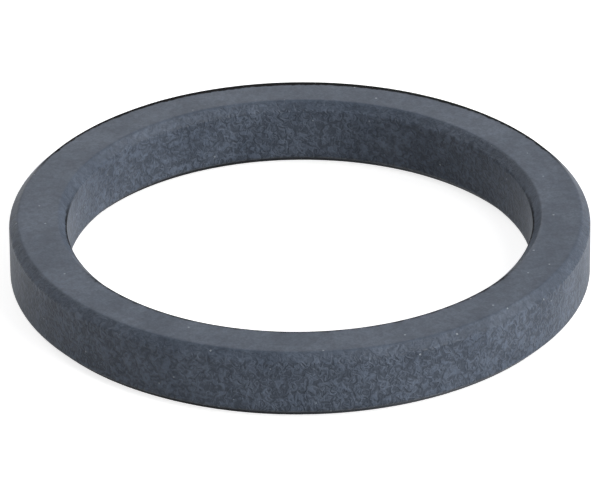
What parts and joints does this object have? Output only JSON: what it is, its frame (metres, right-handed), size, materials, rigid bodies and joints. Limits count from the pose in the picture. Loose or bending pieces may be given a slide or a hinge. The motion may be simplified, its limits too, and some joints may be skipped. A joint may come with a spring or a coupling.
{
  "type": "group head gasket",
  "caption": "Thick flat rubber sealing ring with a nearly square section, bevelled on every edge, for the group head of an espresso machine.",
  "frame": {"origin": "centre of the underside, on the ring's axis", "axes": "+Z along the ring's axis, from the underside to the top face; +X and +Y lie in the underside and are alike"},
  "size_m": [0.073, 0.073, 0.0088],
  "materials": {
    "rubber": "matte moulded rubber, slate grey with a faint bluish bloom"
  },
  "bodies": {
    "root": {"gasket_ring": "rubber"}
  },
  "joints": []
}
